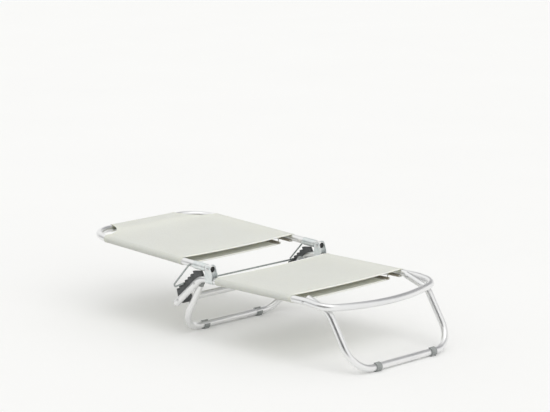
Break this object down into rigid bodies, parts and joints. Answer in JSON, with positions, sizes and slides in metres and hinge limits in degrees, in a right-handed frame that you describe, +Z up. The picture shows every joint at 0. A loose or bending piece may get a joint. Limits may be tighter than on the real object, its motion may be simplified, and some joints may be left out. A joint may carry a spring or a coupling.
{
  "type": "folding beach chair",
  "caption": "Low folding lounger of bent aluminium tube with taut fabric slings, a backrest propped by a wire strut in toothed racks, and folding leg loops.",
  "frame": {"origin": "on the floor under the middle of the chair, between the front and rear feet", "axes": "+X across the chair to the sitter's left, +Y from the foot end to the head end, +Z up"},
  "size_m": [0.602, 1.3504, 0.3194],
  "materials": {
    "aluminium_tube": "polished, lightly drawn",
    "zinc_steel": "satin zinc plate",
    "strut_steel": "dull zinc plate",
    "fastener_steel": "satin",
    "dark_plastic": "fine moulded grain",
    "black_plastic": "matte",
    "foot_plastic": "matte",
    "pale_plastic": "matte",
    "sling_fabric": "plain woven mesh",
    "elastic_cord": "braided"
  },
  "bodies": {
    "seat_frame": {"seat_tube": "aluminium_tube", "rear_crossbar": "aluminium_tube", "crossbar_socket_left": "dark_plastic", "crossbar_socket_right": "dark_plastic", "crossbar_screws": "fastener_steel", "hinge_bracket_left": "zinc_steel", "hinge_bracket_right": "zinc_steel", "bracket_rivets": "fastener_steel", "hinge_pin_left": "fastener_steel", "hinge_pin_right": "fastener_steel", "rack_left": "dark_plastic", "rack_right": "dark_plastic", "rack_screws": "fastener_steel", "tail_plugs": "pale_plastic", "front_leg_rivets": "fastener_steel", "rear_leg_rivets": "fastener_steel", "leg_washers": "pale_plastic", "seat_sling": "sling_fabric", "seat_hem_rods": "pale_plastic", "seat_lacing": "elastic_cord"},
    "backrest": {"backrest_tube": "aluminium_tube", "backrest_sleeve_left": "zinc_steel", "backrest_sleeve_right": "zinc_steel", "backrest_plugs": "black_plastic", "backrest_sling": "sling_fabric", "backrest_hem_rods": "pale_plastic", "backrest_lacing": "elastic_cord"},
    "strut": {"strut_wire": "strut_steel", "strut_caps": "dark_plastic"},
    "front_leg": {"front_leg_tube": "aluminium_tube", "front_leg_plugs": "dark_plastic", "front_foot_left": "foot_plastic", "front_foot_right": "foot_plastic"},
    "rear_leg": {"rear_leg_tube": "aluminium_tube", "rear_knuckle_left": "foot_plastic", "rear_knuckle_right": "foot_plastic", "rear_foot_left": "foot_plastic", "rear_foot_right": "foot_plastic"}
  },
  "joints": [
    {"name": "backrest_fold", "type": "hinge", "parent": "seat_frame", "child": "backrest", "pos_m": [0, 0.00709, 0.272], "axis": [1, 0, 0], "range_deg": [0, 177]},
    {"name": "strut_swing", "type": "hinge", "parent": "backrest", "child": "strut", "pos_m": [0, 0.09597, 0.2765], "axis": [1, 0, 0], "range_deg": [0, 50]},
    {"name": "front_leg_fold", "type": "hinge", "parent": "seat_frame", "child": "front_leg", "pos_m": [0, -0.45391, 0.2317], "axis": [1, 0, 0], "range_deg": [0, 119]},
    {"name": "rear_leg_fold", "type": "hinge", "parent": "seat_frame", "child": "rear_leg", "pos_m": [0, 0.07884, 0.20988], "axis": [-1, 0, 0], "range_deg": [0, 114]}
  ]
}
